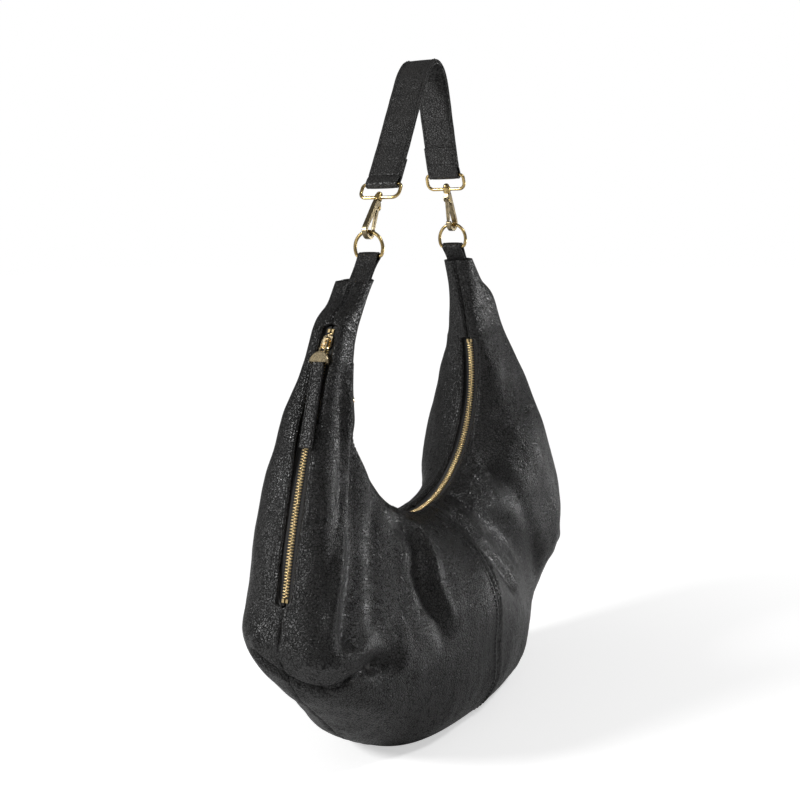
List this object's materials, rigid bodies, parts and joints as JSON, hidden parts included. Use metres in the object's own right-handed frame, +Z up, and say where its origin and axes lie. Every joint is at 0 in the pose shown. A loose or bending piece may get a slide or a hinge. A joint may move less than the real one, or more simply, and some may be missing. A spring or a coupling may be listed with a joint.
{
  "type": "hobo bag",
  "caption": "Slouchy crescent shoulder bag in black pebbled leather with a zipped curved mouth, a zipped end pocket and a short clip-on strap.",
  "frame": {"origin": "on the floor under the middle of the bag's bounding box", "axes": "+X from the left end (with the side zip) to the right end, -Y is the front, +Z up"},
  "size_m": [0.4784, 0.1603, 0.6052],
  "materials": {
    "panel_leather": "soft pebbled leather, semi-matt",
    "trim_leather": "pebbled leather strip",
    "strap_leather": "pebbled leather, edge stitched",
    "strap_backing": "smooth leather backing",
    "lining_cloth": "woven lining cloth",
    "zip_tape": "woven tape",
    "zip_brass": "bright gold brass teeth",
    "slider_brass": "brushed antique brass",
    "ring_brass": "polished antique brass",
    "hook_brass": "darkened antique brass",
    "spring_steel": "plain"
  },
  "bodies": {
    "bag": {"front_panel_left": "panel_leather", "front_panel_right": "panel_leather", "back_panel_left": "panel_leather", "back_panel_right": "panel_leather", "lining_front": "lining_cloth", "lining_back": "lining_cloth", "side_pocket_bag": "lining_cloth", "inner_slip_pocket": "lining_cloth", "main_zip_tape_front": "zip_tape", "main_zip_tape_back": "zip_tape", "main_zip_teeth": "zip_brass", "main_zip_stops": "zip_brass", "side_zip_tape_front": "zip_tape", "side_zip_tape_back": "zip_tape", "side_zip_teeth": "zip_brass", "side_zip_stops": "zip_brass", "tab_left": "trim_leather", "tab_right": "trim_leather"},
    "main_slider": {"main_slider": "slider_brass"},
    "main_pull": {"main_pull_cap": "slider_brass", "main_pull_tab": "trim_leather"},
    "side_slider": {"side_slider": "slider_brass"},
    "side_pull": {"side_pull_cap": "slider_brass", "side_pull_tab": "trim_leather"},
    "ring_left": {"ring_left": "ring_brass"},
    "ring_right": {"ring_right": "ring_brass"},
    "strap": {"strap_outer": "strap_leather", "strap_inner": "strap_backing", "strap_fold_left": "strap_leather", "strap_fold_right": "strap_leather", "loop_left": "ring_brass", "loop_right": "ring_brass"},
    "hook_left": {"hook_left": "hook_brass", "gate_pin_left": "hook_brass", "gate_spring_left": "spring_steel", "swivel_rivet_left": "hook_brass"},
    "gate_left": {"gate_left": "hook_brass"},
    "hook_right": {"hook_right": "hook_brass", "gate_pin_right": "hook_brass", "gate_spring_right": "spring_steel", "swivel_rivet_right": "hook_brass"},
    "gate_right": {"gate_right": "hook_brass"}
  },
  "joints": [
    {"name": "strap_swing", "type": "hinge", "parent": "bag", "child": "strap", "pos_m": [0, 0, 0.441], "axis": [1, 0, 0], "range_deg": [-65, 65]},
    {"name": "main_slide", "type": "hinge", "parent": "bag", "child": "main_slider", "pos_m": [-0.012, 0, 0.314], "axis": [0, -1, 0], "range_deg": [0, 196]},
    {"name": "main_pull_tilt", "type": "hinge", "parent": "main_slider", "child": "main_pull", "pos_m": [-0.12712, 0, 0.33371], "axis": [0, -1, 0], "range_deg": [-3, 110]},
    {"name": "side_slide", "type": "hinge", "parent": "bag", "child": "side_slider", "pos_m": [0.54277, 0, -0.02177], "axis": [0, -1, 0], "range_deg": [0, 13.4]},
    {"name": "side_pull_tilt", "type": "hinge", "parent": "side_slider", "child": "side_pull", "pos_m": [-0.15093, 0, 0.36859], "axis": [0, 1, 0], "range_deg": [0, 150]},
    {"name": "ring_left_tilt", "type": "hinge", "parent": "bag", "child": "ring_left", "pos_m": [-0.077, 0, 0.4336], "axis": [0, 1, 0], "range_deg": [-4, 4]},
    {"name": "swivel_left", "type": "hinge", "parent": "strap", "child": "hook_left", "pos_m": [-0.05782, 0, 0.48344], "axis": [0.5592, 0, 0.829], "range_deg": [-20, 20]},
    {"name": "gate_left_open", "type": "hinge", "parent": "hook_left", "child": "gate_left", "pos_m": [-0.06087, 0, 0.47427], "axis": [0, 1, 0], "range_deg": [0, 18], "stiffness_Nm_per_rad": 0.02, "springref_deg": -11.46},
    {"name": "ring_right_tilt", "type": "hinge", "parent": "bag", "child": "ring_right", "pos_m": [0.077, 0, 0.4336], "axis": [0, 1, 0], "range_deg": [-4, 4]},
    {"name": "swivel_right", "type": "hinge", "parent": "strap", "child": "hook_right", "pos_m": [0.06812, 0, 0.48813], "axis": [-0.2588, 0, 0.9659], "range_deg": [-20, 20]},
    {"name": "gate_right_open", "type": "hinge", "parent": "hook_right", "child": "gate_right", "pos_m": [0.06802, 0, 0.47847], "axis": [0, -1, 0], "range_deg": [0, 18], "stiffness_Nm_per_rad": 0.02, "springref_deg": -11.46}
  ]
}
